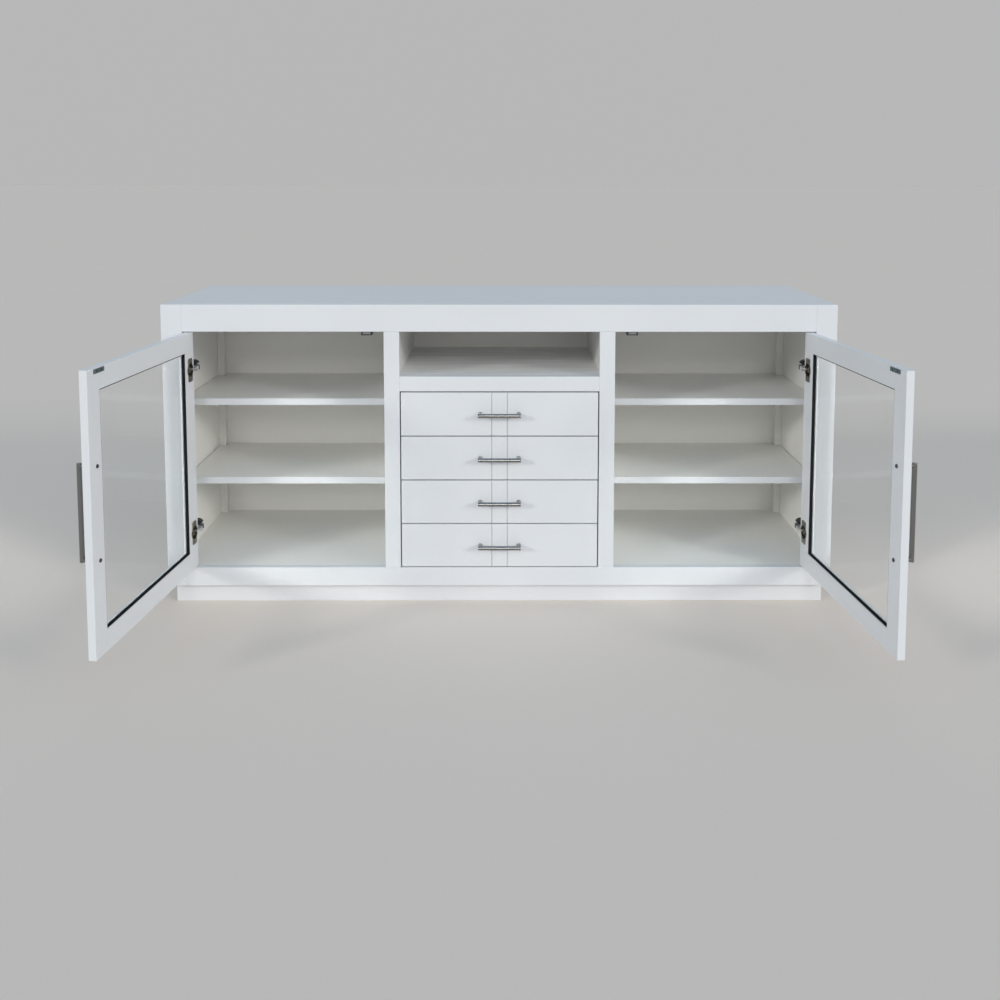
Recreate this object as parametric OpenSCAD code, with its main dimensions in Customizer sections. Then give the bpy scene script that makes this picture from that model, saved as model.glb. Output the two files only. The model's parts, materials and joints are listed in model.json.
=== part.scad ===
// Media console: two glass doors, a centre stack of four drawers and an open niche.
// Millimetres, +Z up, +X to the right, the front faces -Y.
// The origin is on the floor, under the centre of the cabinet's own footprint.

/* [Cabinet] */
// Width over the two front posts
width = 1778; // [1500:1:2000]
// Depth from the front frame to the back panel
depth = 457; // [400:1:520]
// Height from the floor to the top surface
height = 812; // [790:1:840]
// Height of the recessed plinth
plinth_h = 53; // [40:1:65]
// Setback of the plinth behind the front frame
plinth_setback = 25; // [10:1:40]
// Setback of the plinth at each end
plinth_end_setback = 16; // [8:1:30]

/* [Front frame] */
// Width of each front post
post_w = 55; // [50:1:60]
// Thickness of the frame boards
frame_t = 22; // [18:1:22]
// Height of the rail under the top
top_rail_h = 72; // [60:1:80]
// Height of the rail above the plinth
base_rail_h = 50; // [40:1:55]
// Width of each stile between a bay and the drawers
stile_w = 41; // [36:1:50]
// Clear width between the two stiles
centre_w = 528; // [460:1:560]
// Height of the rail between the niche and the drawers
niche_rail_h = 40; // [36:1:60]
// Height of the open niche
niche_h = 119; // [100:1:130]

/* [Boards] */
// Thickness of the top and bottom boards and the shelves
board_t = 18; // [16:1:18]
// Thickness of the side panels
side_t = 17; // [16:1:18]
// Thickness of the two partitions
partition_t = 31; // [26:1:32]
// Thickness of the back panel
back_t = 6; // [4:1:6]
// Setback of the shelves behind the front frame
shelf_setback = 106; // [90:1:120]
// Height of the upper shelves' top face
upper_shelf_z = 538; // [500:1:560]
// Height of the lower shelves' top face
lower_shelf_z = 317; // [290:1:340]

/* [Doors] */
// Thickness of a door
door_t = 18; // [18:1:19]
// Gap at each vertical edge of a door
door_side_gap = 2.5; // [2.5:0.5:3]
// Gap above and below a door
door_end_gap = 2; // [2:0.5:3]
// Width of the frame members on the inner face
member_w = 49.5; // [45:0.5:60]
// Angle at which the doors stand open at rest
door_open = 95.8; // [80:0.1:100]
// Distance of each hinge from the end of its door
hinge_inset = 98; // [80:1:130]
// Distance between the screws of a door pull
door_pull_span = 208; // [160:1:224]

/* [Drawers] */
// Gap round the drawer fronts
drawer_gap = 3; // [2.5:0.5:3]
// Thickness of a drawer front
drawer_front_t = 20; // [18:1:20]
// Distance of the two V-grooves from the middle of a drawer front
groove_x = 20.6; // [15:0.1:30]
// Distance between the screws of a drawer pull
drawer_pull_span = 102; // [76:1:160]

/* [Hidden] */

// Colours
paint = [0.88, 0.89, 0.91];
paint_inside = [0.84, 0.83, 0.80];
wash_wood = [0.80, 0.79, 0.76];
raw_wood = [0.82, 0.76, 0.64];
nickel = [0.62, 0.61, 0.59];
steel = [0.70, 0.70, 0.70];
black = [0.06, 0.06, 0.06];
glass_tint = [0.80, 0.90, 0.92, 0.35];

// Levels and planes
front = -depth / 2;
back = depth / 2;
frame_back = front + frame_t;
back_face = back - back_t;
half_w = width / 2;
side_in = half_w - side_t;
post_in = half_w - post_w;
stile_in = centre_w / 2;
stile_out = stile_in + stile_w;
partition_mid = (stile_in + stile_out) / 2;
partition_in = partition_mid - partition_t / 2;
partition_out = partition_mid + partition_t / 2;
floor_z = plinth_h + base_rail_h;
rail_z = height - top_rail_h;
top_in_z = height - board_t;
niche_z = rail_z - niche_h;
drawer_top_z = niche_z - niche_rail_h;
glue = 0.1;

// Interior details
hinge_block_d = 62;
strip_w = 20;
strip_d = 23;
shelf_end_gap = 3;
pin_d = 5;
pin_hole_depth = 9;
pin_reach = 8;
pin_front = 40;
pin_rear = 60;
catch_w = 28.5;
catch_h = 12.5;
catch_d = 28;
catch_y = front + 20;
catch_from_edge = 30.5;
// Recess in the catch's face, and the rim left round it
catch_rim = 2.5;
catch_recess_d = 1.5;

// Doors: drawn closed, then turned about the hinge axis
door_w = post_in - stile_out - 2 * door_side_gap;
door_h = rail_z - floor_z - 2 * door_end_gap;
door_z = floor_z + door_end_gap;
door_edge = -post_in + door_side_gap;
door_free = door_edge + door_w;
axis_in = 11.4;
axis_back = 5.1;
axis_x = -post_in + axis_in;
axis_y = front + axis_back;
lip_t = 4.5;
lip_w = 2.5;
groove_t = 4.2;
groove_d = 9;
glass_t = 4;
glass_edge = 1;
glass_y = front + lip_t + (groove_t - glass_t) / 2;
gasket_y = front + lip_t + groove_t;
door_back = front + door_t;
gasket_back = door_back - 1.2;

// Concealed hinges
cup_d = 35;
cup_depth = 11;
cup_wall = 0.6;
cup_from_edge = 22;
// Width of the gap in the rim that the link passes through
rim_gap = 16;
cup_x = door_edge + cup_from_edge;
flange_w = 24;
flange_l = 62;
flange_t = 1.2;
flange_corner = 4;
flange_screw_at = [3, 24];
flange_screw_d = 7;
flange_screw_h = 1.6;
hinge_zs = [door_z + hinge_inset, door_z + door_h - hinge_inset];
cheek_t = 2;
cheek_z0 = 3;
arm_nose_r = 3.2;
// Corners of the mounting plate, its clip and the arm's body, measured like the outline below
mount_box = [[0, 26, -27], [3, 60, 29]];
clip_box = [[3, 34, 4], [28, 54, 17.5]];
body_box = [[3, 32, -11], [29, 53, 4]];
// Side view of the arm, from the post's inner face and the front plane
arm_outline = [[19, 36], [19, 52], [28, 52], [31, 40], [35, 24], [30, 20.5], [27, 30]];

// The hinges' links at rest, from the post's inner face and the front plane
link_pin = [32.3, 21.5];
link_outline = [[31.1, 22], [24.4, 5.7], [18.1, 5.7], [16.8, 5], [16.8, 3.8], [18.1, 3.1],
  [25.6, 3.1], [26.4, 3.9], [33.5, 21]];
link_h = 5;
link_eye_r = 2.8;
link_pin_r = 1.5;
pin_clear = 0.05;

// Bar pulls
pull_d = 11;
pull_reach = 28;
door_pull_edge = 29;
door_pull_drop = 0.5;
door_pull_mid = door_z + door_h / 2 - door_pull_drop;
door_pull_zs = [door_pull_mid - door_pull_span / 2, door_pull_mid + door_pull_span / 2];
drawer_pull_rise = 0.6;
screw_d = 4;
screw_head_d = 9;
screw_head_h = 2.6;
screw_clear = 0.2;
screw_thread = 10;

// Strike plate of the magnetic catch
strike_w = 43;
strike_h = 10;
strike_t = 1.6;
strike_drop = 3;
strike_from_edge = 26;
strike_corner = 1;
strike_screw_in = 11;
strike_screw_d = 6.5;
strike_recess_d = 0.8;

// Drawers
drawers = 4;
drawer_w = centre_w - 2 * drawer_gap;
drawer_pitch = (drawer_top_z - floor_z - drawer_gap) / drawers;
drawer_h = drawer_pitch - drawer_gap;
box_t = 12;
box_h = 86;
box_lift = 12;
box_back = front + 420;
box_front = front + drawer_front_t;
bottom_t = 6;
bottom_lift = 10;
slide_space = 12.7;
box_half = partition_in - slide_space;
slide_h = 35;
slide_y = front + 26;
slide_l = 386;
rail_t = 5.4;
runner_t = 5.6;
vee_w = 3.4;
vee_d = 4;

function drawer_z(i) = floor_z + drawer_gap + (drawers - i) * drawer_pitch;

// A box between two corners
module block(x0, x1, y0, y1, z0, z1) {
  translate([x0, y0, z0]) cube([x1 - x0, y1 - y0, z1 - z0]);
}

// A round bar along Y, from y0 to y1
module bar_y(x, z, y0, y1, d) {
  translate([x, y0, z]) rotate([-90, 0, 0]) cylinder(d = d, h = y1 - y0, $fn = 48);
}

// What is drawn on the left is mirrored for the right
module on_side(side) {
  if (side < 0) children();
  else mirror([1, 0, 0]) children();
}

// Turns a closed left door to its rest angle, and mirrors it for the right
module hung(side) {
  on_side(side)
    translate([axis_x, axis_y, 0])
      rotate([0, 0, -door_open])
        translate([-axis_x, -axis_y, 0])
          children();
}

// Cabinet boards
module top_panel() {
  color(paint) block(-half_w, half_w, frame_back, back, top_in_z, height);
}

module top_rail() {
  color(paint) block(-post_in, post_in, front, frame_back, rail_z, height);
}

module base_rail() {
  color(paint) block(-post_in, post_in, front, frame_back, plinth_h, floor_z);
}

module front_posts() {
  color(paint)
    for (side = [-1, 1])
      on_side(side) block(-half_w, -post_in, front, frame_back, plinth_h, height);
}

// Solid blocks behind the posts that carry the hinges
module hinge_blocks() {
  color(paint_inside)
    for (side = [-1, 1])
      on_side(side) block(-side_in, -post_in, frame_back, front + hinge_block_d, floor_z, top_in_z);
}

module shelf_pin_holes(x, dir) {
  for (z = [upper_shelf_z, lower_shelf_z])
    for (y = [front + shelf_setback + pin_front, back_face - pin_rear])
      translate([x, y, z - board_t - pin_d / 2])
        rotate([0, 90 * dir, 0])
          cylinder(d = pin_d, h = pin_hole_depth, $fn = 24);
}

module side_panel(side) {
  color(paint)
    on_side(side)
      difference() {
        block(-half_w, -side_in, frame_back, back, plinth_h, top_in_z);
        shelf_pin_holes(-side_in, -1);
      }
}

module left_side_panel() { side_panel(-1); }

module right_side_panel() { side_panel(1); }

module bottom_panel() {
  color(paint_inside) block(-side_in, side_in, frame_back, back_face, floor_z - board_t, floor_z);
}

module back_panel() {
  color(paint_inside) block(-side_in, side_in, back_face, back, plinth_h, top_in_z);
}

module back_corner_strips() {
  color(paint_inside)
    for (side = [-1, 1])
      on_side(side)
        block(-side_in, -side_in + strip_w, back_face - strip_d, back_face, floor_z, top_in_z);
}

module partition(side) {
  color(paint_inside)
    on_side(side)
      difference() {
        block(-partition_out, -partition_in, frame_back, back_face, floor_z, top_in_z);
        shelf_pin_holes(-partition_out, 1);
      }
}

module left_partition() { partition(-1); }

module right_partition() { partition(1); }

module partition_stiles() {
  color(paint)
    for (side = [-1, 1])
      on_side(side) block(-stile_out, -stile_in, front, frame_back, floor_z, rail_z);
}

module niche_shelf() {
  color(wash_wood)
    block(-partition_in, partition_in, frame_back, back_face, niche_z - board_t, niche_z);
}

module niche_rail() {
  color(paint) block(-stile_in, stile_in, front, frame_back, drawer_top_z, niche_z);
}

// Four plinth boards and a cross board under the middle
module plinth() {
  y0 = front + plinth_setback;
  y1 = back - plinth_end_setback;
  x1 = half_w - plinth_end_setback;
  color(paint) {
    block(-x1, x1, y0, y0 + board_t, 0, plinth_h);
    block(-x1, x1, y1 - board_t, y1, 0, plinth_h);
    for (x = [-x1, -board_t / 2, x1 - board_t])
      block(x, x + board_t, y0 + board_t + glue, y1 - board_t - glue, 0, plinth_h);
  }
}

// A loose shelf, notched round the corner strip at the back
module shelf(side, top_z) {
  color(paint_inside)
    on_side(side)
      difference() {
        block(-side_in + shelf_end_gap, -partition_out - shelf_end_gap,
          front + shelf_setback, back_face - shelf_end_gap, top_z - board_t, top_z);
        block(-side_in, -side_in + strip_w + shelf_end_gap,
          back_face - strip_d - shelf_end_gap, back, top_z - board_t - 1, top_z + 1);
      }
}

module left_upper_shelf() { shelf(-1, upper_shelf_z); }

module left_lower_shelf() { shelf(-1, lower_shelf_z); }

module right_upper_shelf() { shelf(1, upper_shelf_z); }

module right_lower_shelf() { shelf(1, lower_shelf_z); }

module shelf_pin(x, dir, y, z) {
  translate([x, y, z])
    rotate([0, 90 * dir, 0])
      cylinder(d = pin_d, h = pin_hole_depth + pin_reach, $fn = 24);
}

// Four pins under each shelf, in blind holes
module shelf_pins() {
  color(steel)
    for (side = [-1, 1], top_z = [upper_shelf_z, lower_shelf_z],
        y = [front + shelf_setback + pin_front, back_face - pin_rear])
      on_side(side) {
        shelf_pin(-side_in - pin_hole_depth, 1, y, top_z - board_t - pin_d / 2);
        shelf_pin(-partition_out + pin_hole_depth, -1, y, top_z - board_t - pin_d / 2);
      }
}

// Magnetic catches on the back of the top rail, one for each door
module magnetic_catches() {
  catch_x1 = door_free - catch_from_edge;
  color(black)
    for (side = [-1, 1])
      on_side(side)
        difference() {
          union() {
            block(catch_x1 - catch_w, catch_x1, catch_y, catch_y + catch_d,
              rail_z - catch_h, rail_z);
            block(catch_x1 - catch_w, catch_x1, frame_back, catch_y + catch_d,
              rail_z, rail_z + board_t);
          }
          block(catch_x1 - catch_w + catch_rim, catch_x1 - catch_rim,
            catch_y - 1, catch_y + catch_recess_d,
            rail_z - catch_h + catch_rim, rail_z - catch_rim);
        }
}

// Mounting plate and arm of one concealed hinge
module hinge_arm(z) {
  translate([-post_in, front, z]) {
    for (box = [mount_box, clip_box, body_box])
      translate(box[0]) cube(box[1] - box[0]);
    for (cheek_z = [-cheek_z0 - cheek_t, cheek_z0])
      translate([0, 0, cheek_z]) {
        linear_extrude(cheek_t) polygon(arm_outline);
        translate([link_pin[0], link_pin[1], 0]) cylinder(r = arm_nose_r, h = cheek_t, $fn = 32);
      }
    translate([link_pin[0], link_pin[1], -cheek_z0 - 1])
      cylinder(r = link_pin_r, h = 2 * cheek_z0 + 2, $fn = 32);
  }
}

module hinge_arms() {
  color(nickel)
    for (side = [-1, 1])
      on_side(side)
        for (z = hinge_zs)
          hinge_arm(z);
}

// The hooked link between the arm and the cup, turning on the arm's pin
module hinge_link(z) {
  translate([-post_in, front, z - link_h / 2])
    difference() {
      union() {
        linear_extrude(link_h) polygon(link_outline);
        translate([link_pin[0], link_pin[1], 0]) cylinder(r = link_eye_r, h = link_h, $fn = 32);
      }
      translate([link_pin[0], link_pin[1], -1])
        cylinder(r = link_pin_r + pin_clear, h = link_h + 2, $fn = 32);
    }
}

module hinge_links(side) {
  color(steel)
    on_side(side)
      for (z = hinge_zs)
        hinge_link(z);
}

module left_hinge_links() { hinge_links(-1); }

module right_hinge_links() { hinge_links(1); }

// The rails that stay in the cabinet, one pair for each drawer
module drawer_rails() {
  color(steel)
    for (side = [-1, 1])
      on_side(side)
        for (i = [1 : drawers]) {
          z = drawer_z(i) + box_lift + box_h / 2 - slide_h / 2;
          block(-partition_in, -partition_in + rail_t, slide_y, slide_y + slide_l, z, z + slide_h);
        }
}

// Doors, in the closed place of the left door
module glass_groove() {
  block(door_edge + member_w + lip_w - groove_d, door_free - member_w - lip_w + groove_d,
    front + lip_t, front + lip_t + groove_t,
    door_z + member_w + lip_w - groove_d, door_z + door_h - member_w - lip_w + groove_d);
}

// A hole through a door for each screw of its pull
module door_pull_holes() {
  for (z = door_pull_zs)
    bar_y(door_free - door_pull_edge, z, front - 1, door_back + 1, screw_d + 2 * screw_clear);
}

module door_stile(x0, x1, lip_x0, lip_x1) {
  difference() {
    union() {
      block(x0, x1, front, door_back, door_z, door_z + door_h);
      block(lip_x0, lip_x1, front, front + lip_t, door_z + member_w, door_z + door_h - member_w);
    }
    glass_groove();
  }
}

module door_hinge_stile(side) {
  color(paint)
    hung(side)
      difference() {
        door_stile(door_edge, door_edge + member_w, door_edge, door_edge + member_w + lip_w);
        for (z = hinge_zs)
          bar_y(cup_x, z, door_back - cup_depth - 0.1, door_back + 1, cup_d + 0.1);
      }
}

module door_free_stile(side) {
  color(paint)
    hung(side)
      difference() {
        door_stile(door_free - member_w, door_free, door_free - member_w - lip_w, door_free);
        door_pull_holes();
      }
}

// One rail between the stiles
module door_rail(z0, z1, lip_z0, lip_z1) {
  difference() {
    union() {
      block(door_edge + member_w, door_free - member_w, front, door_back, z0, z1);
      block(door_edge + member_w + lip_w, door_free - member_w - lip_w,
        front, front + lip_t, lip_z0, lip_z1);
    }
    glass_groove();
  }
}

module door_rails(side) {
  color(paint)
    hung(side) {
      door_rail(door_z, door_z + member_w, door_z, door_z + member_w + lip_w);
      door_rail(door_z + door_h - member_w, door_z + door_h,
        door_z + door_h - member_w - lip_w, door_z + door_h);
    }
}

module door_glass(side) {
  inset = member_w + lip_w - groove_d + glass_edge;
  color(glass_tint)
    hung(side)
      block(door_edge + inset, door_free - inset, glass_y, glass_y + glass_t,
        door_z + inset, door_z + door_h - inset);
}

// Black strip round the opening, between the glass and the inner face
module door_gasket(side) {
  color(black)
    hung(side)
      difference() {
        block(door_edge + member_w, door_free - member_w, gasket_y, gasket_back,
          door_z + member_w, door_z + door_h - member_w);
        block(door_edge + member_w + lip_w, door_free - member_w - lip_w,
          gasket_y - 1, gasket_back + 1,
          door_z + member_w + lip_w, door_z + door_h - member_w - lip_w);
      }
}

// A threaded hole for a pull's screw, in the foot of its post
module pull_thread(x, z) {
  bar_y(x, z, front - screw_thread, front + 1, screw_d + 2 * screw_clear);
}

// Upright bar with a round post at each end
module door_pull(side) {
  x = door_free - door_pull_edge;
  bar_l = door_pull_span + pull_d;
  color(nickel)
    hung(side)
      difference() {
        union() {
          translate([x, front - pull_reach + pull_d / 2, door_pull_mid - bar_l / 2])
            cylinder(d = pull_d, h = bar_l, $fn = 48);
          for (z = door_pull_zs)
            bar_y(x, z, front - pull_reach + pull_d / 2, front, pull_d);
        }
        for (z = door_pull_zs)
          pull_thread(x, z);
      }
}

// A pan-head screw that holds a pull, driven from behind
module pull_screw(x, z, face_y) {
  bar_y(x, z, front - screw_thread + 1, face_y + 0.5, screw_d);
  bar_y(x, z, face_y, face_y + screw_head_h, screw_head_d);
}

module door_pull_screws(side) {
  color(black)
    hung(side)
      for (z = door_pull_zs)
        pull_screw(door_free - door_pull_edge, z, door_back);
}

// Cup, flange and two screws of one concealed hinge
module hinge_cup(z) {
  difference() {
    union() {
      bar_y(cup_x, z, door_back - cup_depth, door_back + flange_t, cup_d);
      for (cut = [[0, flange_corner], [flange_corner, 0]])
        block(cup_x - flange_w / 2 + cut[0], cup_x + flange_w / 2 - cut[0],
          door_back, door_back + flange_t,
          z - flange_l / 2 + cut[1], z + flange_l / 2 - cut[1]);
    }
    bar_y(cup_x, z, door_back - cup_depth + cup_wall, door_back + flange_t + 1,
      cup_d - 2 * cup_wall);
    block(cup_x - cup_d / 2 - 1, cup_x, door_back, door_back + flange_t + 1,
      z - rim_gap / 2, z + rim_gap / 2);
  }
  for (end = [-1, 1])
    bar_y(cup_x + flange_screw_at[0], z + end * flange_screw_at[1],
      door_back + flange_t, door_back + flange_t + flange_screw_h, flange_screw_d);
}

module door_hinge_cups(side) {
  color(nickel)
    hung(side)
      for (z = hinge_zs)
        hinge_cup(z);
}

// Plate that the magnetic catch holds
module strike_plate(side) {
  x1 = door_free - strike_from_edge;
  x0 = x1 - strike_w;
  z1 = door_z + door_h - strike_drop;
  z0 = z1 - strike_h;
  color(black)
    hung(side)
      difference() {
        union() {
          block(x0 + strike_corner, x1 - strike_corner, door_back, door_back + strike_t, z0, z1);
          block(x0, x1, door_back, door_back + strike_t, z0 + strike_corner, z1 - strike_corner);
        }
        for (x = [x0 + strike_screw_in, x1 - strike_screw_in])
          bar_y(x, (z0 + z1) / 2, door_back + strike_recess_d, door_back + strike_t + 1,
            strike_screw_d);
      }
}

module left_door_hinge_stile() { door_hinge_stile(-1); }

module left_door_free_stile() { door_free_stile(-1); }

module left_door_rails() { door_rails(-1); }

module left_door_glass() { door_glass(-1); }

module left_door_gasket() { door_gasket(-1); }

module left_door_pull() { door_pull(-1); }

module left_door_pull_screws() { door_pull_screws(-1); }

module left_door_hinge_cups() { door_hinge_cups(-1); }

module left_door_strike_plate() { strike_plate(-1); }

module right_door_hinge_stile() { door_hinge_stile(1); }

module right_door_free_stile() { door_free_stile(1); }

module right_door_rails() { door_rails(1); }

module right_door_glass() { door_glass(1); }

module right_door_gasket() { door_gasket(1); }

module right_door_pull() { door_pull(1); }

module right_door_pull_screws() { door_pull_screws(1); }

module right_door_hinge_cups() { door_hinge_cups(1); }

module right_door_strike_plate() { strike_plate(1); }

// Drawers, numbered from the top
module vee_groove(x, z0, z1) {
  translate([x, front, z0])
    linear_extrude(z1 - z0)
      polygon([[-vee_w / 2, -1], [-vee_w / 2, 0], [0, vee_d], [vee_w / 2, 0], [vee_w / 2, -1]]);
}

// Height of the pull of drawer i
function drawer_pull_z(i) = drawer_z(i) + drawer_h / 2 + drawer_pull_rise;

module drawer_front(i) {
  z = drawer_z(i);
  color(paint)
    difference() {
      block(-drawer_w / 2, drawer_w / 2, front, box_front, z, z + drawer_h);
      for (x = [-groove_x, groove_x])
        vee_groove(x, z - 1, z + drawer_h + 1);
      for (x = [-drawer_pull_span / 2, drawer_pull_span / 2])
        bar_y(x, drawer_pull_z(i), front - 1, box_front + 1, screw_d + 2 * screw_clear);
    }
}

// Two sides, an inner front, a back and a bottom let into them
module drawer_box(i) {
  z0 = drawer_z(i) + box_lift;
  z1 = z0 + box_h;
  y0 = box_front;
  inner = box_half - box_t - glue;
  color(raw_wood) {
    for (side = [-1, 1])
      on_side(side)
        difference() {
          block(-box_half, -box_half + box_t, y0, box_back, z0, z1);
          block(-box_half + box_t / 2, -inner, y0 - 1, box_back + 1,
            z0 + bottom_lift, z0 + bottom_lift + bottom_t);
        }
    difference() {
      block(-inner, inner, y0, y0 + box_t, z0, z1);
      block(-inner - 1, inner + 1, y0 + box_t / 2, y0 + box_t + 1,
        z0 + bottom_lift, z0 + bottom_lift + bottom_t);
      for (x = [-drawer_pull_span / 2, drawer_pull_span / 2])
        bar_y(x, drawer_pull_z(i), y0 - 1, y0 + box_t + 1, screw_head_d + 3);
    }
    block(-inner, inner, box_back - box_t, box_back, z0 + bottom_lift + bottom_t + glue, z1);
    block(-box_half + box_t / 2 + glue, box_half - box_t / 2 - glue,
      y0 + box_t / 2 + glue, box_back - glue, z0 + bottom_lift + glue, z0 + bottom_lift + bottom_t - glue);
  }
}

// The runners screwed to the sides of a drawer box
module drawer_slides(i) {
  z = drawer_z(i) + box_lift + box_h / 2 - slide_h / 2;
  color(steel)
    for (side = [-1, 1])
      on_side(side)
        block(-box_half - runner_t, -box_half, slide_y, slide_y + slide_l, z + 5, z + slide_h - 5);
}

// A bar pull with its two screws
module drawer_pull(i) {
  z = drawer_pull_z(i);
  bar_l = drawer_pull_span + pull_d;
  color(nickel) {
    difference() {
      union() {
        translate([-bar_l / 2, front - pull_reach + pull_d / 2, z])
          rotate([0, 90, 0])
            cylinder(d = pull_d, h = bar_l, $fn = 48);
        for (x = [-drawer_pull_span / 2, drawer_pull_span / 2])
          bar_y(x, z, front - pull_reach + pull_d / 2, front, pull_d);
      }
      for (x = [-drawer_pull_span / 2, drawer_pull_span / 2])
        pull_thread(x, z);
    }
    for (x = [-drawer_pull_span / 2, drawer_pull_span / 2])
      pull_screw(x, z, box_front);
  }
}

module drawer_1_front() { drawer_front(1); }

module drawer_1_box() { drawer_box(1); }

module drawer_1_slides() { drawer_slides(1); }

module drawer_1_pull() { drawer_pull(1); }

module drawer_2_front() { drawer_front(2); }

module drawer_2_box() { drawer_box(2); }

module drawer_2_slides() { drawer_slides(2); }

module drawer_2_pull() { drawer_pull(2); }

module drawer_3_front() { drawer_front(3); }

module drawer_3_box() { drawer_box(3); }

module drawer_3_slides() { drawer_slides(3); }

module drawer_3_pull() { drawer_pull(3); }

module drawer_4_front() { drawer_front(4); }

module drawer_4_box() { drawer_box(4); }

module drawer_4_slides() { drawer_slides(4); }

module drawer_4_pull() { drawer_pull(4); }

top_panel();
top_rail();
base_rail();
front_posts();
hinge_blocks();
left_side_panel();
right_side_panel();
bottom_panel();
back_panel();
back_corner_strips();
left_partition();
right_partition();
partition_stiles();
niche_shelf();
niche_rail();
plinth();
left_upper_shelf();
left_lower_shelf();
right_upper_shelf();
right_lower_shelf();
shelf_pins();
magnetic_catches();
hinge_arms();
drawer_rails();
left_hinge_links();
right_hinge_links();
left_door_hinge_stile();
left_door_free_stile();
left_door_rails();
left_door_glass();
left_door_gasket();
left_door_pull();
left_door_pull_screws();
left_door_hinge_cups();
left_door_strike_plate();
right_door_hinge_stile();
right_door_free_stile();
right_door_rails();
right_door_glass();
right_door_gasket();
right_door_pull();
right_door_pull_screws();
right_door_hinge_cups();
right_door_strike_plate();
drawer_1_front();
drawer_1_box();
drawer_1_slides();
drawer_1_pull();
drawer_2_front();
drawer_2_box();
drawer_2_slides();
drawer_2_pull();
drawer_3_front();
drawer_3_box();
drawer_3_slides();
drawer_3_pull();
drawer_4_front();
drawer_4_box();
drawer_4_slides();
drawer_4_pull();
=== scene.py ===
"""Looks of a white media console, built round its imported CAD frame. Metres, +Z up, the front faces -Y."""
import json
import math

import bmesh
import bpy
from mathutils import Matrix, Vector


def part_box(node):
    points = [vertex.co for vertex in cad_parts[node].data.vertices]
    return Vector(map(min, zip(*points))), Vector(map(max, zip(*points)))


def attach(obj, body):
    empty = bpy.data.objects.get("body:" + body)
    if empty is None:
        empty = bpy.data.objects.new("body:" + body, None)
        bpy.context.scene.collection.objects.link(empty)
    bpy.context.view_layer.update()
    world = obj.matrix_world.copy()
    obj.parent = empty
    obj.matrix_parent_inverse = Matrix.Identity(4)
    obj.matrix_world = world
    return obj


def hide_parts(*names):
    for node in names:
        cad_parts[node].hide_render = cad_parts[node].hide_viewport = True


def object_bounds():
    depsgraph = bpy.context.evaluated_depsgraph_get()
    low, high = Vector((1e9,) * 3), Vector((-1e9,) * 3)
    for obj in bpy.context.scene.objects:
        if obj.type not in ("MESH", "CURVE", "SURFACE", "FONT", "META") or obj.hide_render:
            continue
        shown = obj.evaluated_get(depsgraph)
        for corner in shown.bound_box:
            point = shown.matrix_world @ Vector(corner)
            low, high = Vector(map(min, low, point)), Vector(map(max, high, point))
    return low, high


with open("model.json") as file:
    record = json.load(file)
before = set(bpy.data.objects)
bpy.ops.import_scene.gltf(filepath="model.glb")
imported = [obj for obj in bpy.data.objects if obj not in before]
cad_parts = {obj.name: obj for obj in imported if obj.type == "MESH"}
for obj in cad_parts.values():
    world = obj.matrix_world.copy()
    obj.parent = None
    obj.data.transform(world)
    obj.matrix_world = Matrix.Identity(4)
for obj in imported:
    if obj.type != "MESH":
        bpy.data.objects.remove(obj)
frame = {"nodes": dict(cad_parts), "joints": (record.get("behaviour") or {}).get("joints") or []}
cad_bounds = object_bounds()

MM = 0.001
IDENTITY = Matrix.Identity(4)
MIRROR = Matrix.Scale(-1, 4, (1, 0, 0))
UP_TO_BACK = Matrix.Rotation(math.radians(-90), 4, "X")
UP_TO_FRONT = Matrix.Rotation(math.radians(90), 4, "X")
UP_TO_RIGHT = Matrix.Rotation(math.radians(90), 4, "Y")
RIGHTWARDS = Vector((1, 0, 0))
UPWARDS = Vector((0, 0, 1))
SHARP_DEGREES = 50
WELD = 0.02 * MM
SIDES = ("left", "right")
DRAWERS = (1, 2, 3, 4)

# Camera: metres, radians, and millimetres for its lens and sensor
CAMERA_PLACE = (0.0213, -2.7329, 1.1374)
CAMERA_PITCH = 0.080
CAMERA_YAW = 0.004
CAMERA_ROLL = -0.001
CAMERA_LENS = 34.64
CAMERA_SENSOR = 36.0
CAMERA_SHIFT = (-0.0116, -0.2427)

# Studio: an even room with a flat backdrop added to it behind the cabinet, lobes of light
# as (direction, tightness, colour), and soft suns as (azimuth from the front, elevation,
# angular size, strength, colour)
ROOM = (0.19, 0.21, 0.235)
BACKDROP = (0.284, 0.264, 0.239)
BACKDROP_EDGE = (0.45, 0.75)
LOBES = (
    ((0.0, -1.0, 0.15), 5.0, (0.74, 0.67, 0.59)),
    ((0.0, -0.5, 1.0), 5.0, (0.00, 0.22, 0.44)),
    ((-1.0, -0.6, 0.4), 5.0, (0.12, 0.14, 0.16)),
    ((1.0, -0.6, 0.4), 5.0, (0.65, 0.62, 0.60)),
)
SUNS = (
    (-54, 18, 9, 0.80, (1.0, 0.98, 0.95)),
    (54, 18, 12, 0.74, (1.0, 0.98, 0.95)),
    (0, 22, 10, 0.24, (1.0, 1.0, 1.0)),
)
FLOOR_COLOUR = (0.828, 0.741, 0.662)
FLOOR_SIZE = 400.0
FLOOR_DROP = 0.2 * MM


# ---------------------------------------------------------------- shader helpers

def add_node(tree, kind, **inputs):
    """A new node. Inputs are named with _ for a space, and take a value or another node's socket."""
    made = tree.nodes.new(kind)
    for key, value in inputs.items():
        socket = made.inputs[key.replace("_", " ")]
        if isinstance(value, bpy.types.NodeSocket):
            tree.links.new(value, socket)
        else:
            socket.default_value = value
    return made


def new_material(name):
    """An empty material with its output node."""
    material = bpy.data.materials.new(name)
    material.use_nodes = True
    material.node_tree.nodes.clear()
    output = material.node_tree.nodes.new("ShaderNodeOutputMaterial")
    return material, material.node_tree, output


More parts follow.
